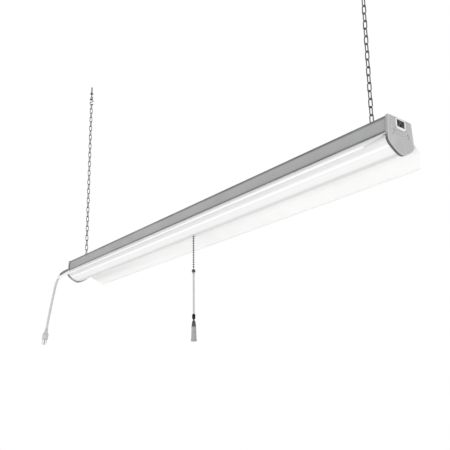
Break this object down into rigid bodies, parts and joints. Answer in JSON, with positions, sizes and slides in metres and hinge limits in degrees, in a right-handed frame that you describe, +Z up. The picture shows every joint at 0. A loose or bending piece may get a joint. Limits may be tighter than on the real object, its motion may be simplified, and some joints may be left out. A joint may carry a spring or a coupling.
{
  "type": "hanging shop light",
  "caption": "Long ceiling-hung work light: folded steel channel on two link chains, white reflector wings, frosted V lens, end caps, pull switch, outlet and lead.",
  "frame": {"origin": "ceiling plane, midway between the two ceiling hooks", "axes": "+X along the light towards the end with the outlet, +Y across it towards the far reflector wing, +Z up"},
  "size_m": [1.3644, 0.15, 0.8748],
  "materials": {
    "zinc": "zinc plated wire",
    "zinc_chain": "zinc plated wire",
    "housing_paint": "satin grey powder coat",
    "reflector_paint": "white reflector enamel",
    "tray_metal": "mill finish",
    "led_board": "white solder mask",
    "led_chip": "yellow phosphor",
    "frosted_lens": "frosted white diffuser",
    "clear_trim": "moulded",
    "cap_plastic": "fine moulded grain",
    "bracket_steel": "zinc plated",
    "screw_steel": "zinc plated",
    "driver_shell": "white",
    "circuit_board": "green board",
    "switch_plastic": "moulded",
    "outlet_plastic": "moulded",
    "brass_parts": "bright",
    "wire_insulation": "extruded",
    "connector_plastic": "moulded",
    "bezel_plastic": "moulded",
    "blade_nickel": "nickel plated",
    "relief_rubber": "moulded",
    "sleeve_rubber": "heat shrunk",
    "cord_jacket": "extruded",
    "plug_plastic": "moulded",
    "bead_chain": "nickel plated",
    "connector_metal": "dark plated",
    "pull_cord_fibre": "braided",
    "bead_plastic": "moulded",
    "collar_plastic": "moulded",
    "handle_plastic": "moulded"
  },
  "bodies": {
    "ceiling": {"ceiling_hook_far": "zinc", "ceiling_hook_near": "zinc"},
    "top_links": {"top_s_hooks": "zinc"},
    "far_chain": {"chain_far": "zinc_chain"},
    "near_chain": {"chain_near": "zinc_chain"},
    "low_links": {"lower_s_hooks": "zinc"},
    "fixture": {"housing_channel": "housing_paint", "reflector_front": "reflector_paint", "reflector_rear": "reflector_paint", "gear_tray": "tray_metal", "led_board_front": "led_board", "led_board_rear": "led_board", "led_chips_front": "led_chip", "led_chips_rear": "led_chip", "lens": "frosted_lens", "lens_grommet": "clear_trim", "end_cap_far": "cap_plastic", "end_cap_near": "cap_plastic", "cap_brackets": "bracket_steel", "cap_screws": "screw_steel", "seam_screws": "screw_steel", "driver_case": "driver_shell", "driver_lid": "driver_shell", "driver_board": "circuit_board", "switch_body": "switch_plastic", "switch_nut": "screw_steel", "link_outlet": "outlet_plastic", "outlet_bezel": "bezel_plastic", "outlet_contacts": "brass_parts", "supply_wires": "wire_insulation", "wire_connectors": "connector_plastic", "link_wires": "wire_insulation", "earth_stud": "brass_parts", "strain_relief": "relief_rubber", "cord_sleeve": "sleeve_rubber", "power_cord": "cord_jacket", "plug_body": "plug_plastic", "plug_blades": "blade_nickel"},
    "switch_pull": {"pull_stem": "bead_chain"},
    "bead_chain": {"pull_chain": "bead_chain", "chain_connector": "connector_metal"},
    "pull_tail": {"pull_knot": "pull_cord_fibre", "pull_cord": "pull_cord_fibre", "pull_bead": "bead_plastic", "handle_collar": "collar_plastic", "pull_handle": "handle_plastic"}
  },
  "joints": [
    {"name": "swing_sideways", "type": "hinge", "parent": "ceiling", "child": "top_links", "pos_m": [0, 0, -0.022], "axis": [1, 0, 0], "range_deg": [-25, 25]},
    {"name": "swing_lengthwise", "type": "hinge", "parent": "top_links", "child": "far_chain", "pos_m": [-0.54, 0, -0.039], "axis": [0, 1, 0], "range_deg": [-15, 15]},
    {"name": "near_chain_swing", "type": "hinge", "parent": "top_links", "child": "near_chain", "pos_m": [0.54, 0, -0.039], "axis": [0, 1, 0], "range_deg": [-15, 15]},
    {"name": "fixture_level", "type": "hinge", "parent": "far_chain", "child": "low_links", "pos_m": [-0.54, 0, -0.53125], "axis": [0, 1, 0], "range_deg": [-15, 15]},
    {"name": "tilt", "type": "hinge", "parent": "low_links", "child": "fixture", "pos_m": [0, 0, -0.54775], "axis": [1, 0, 0], "range_deg": [-20, 20]},
    {"name": "pull_travel", "type": "slide", "parent": "fixture", "child": "switch_pull", "axis": [0, 0, -1], "range_m": [0, 0.008], "stiffness_N_per_m": 300, "springref_m": -0.002},
    {"name": "bead_chain_swing", "type": "hinge", "parent": "switch_pull", "child": "bead_chain", "pos_m": [0.018, 0, -0.60585], "axis": [1, 0, 0], "range_deg": [-25, 25]},
    {"name": "cord_swing", "type": "hinge", "parent": "bead_chain", "child": "pull_tail", "pos_m": [0.018, 0, -0.69625], "axis": [0, 1, 0], "range_deg": [-30, 30]}
  ],
  "couplings": [
    {"joint": "near_chain_swing", "follows": "swing_lengthwise", "ratio": 1},
    {"joint": "fixture_level", "follows": "swing_lengthwise", "ratio": -1}
  ]
}
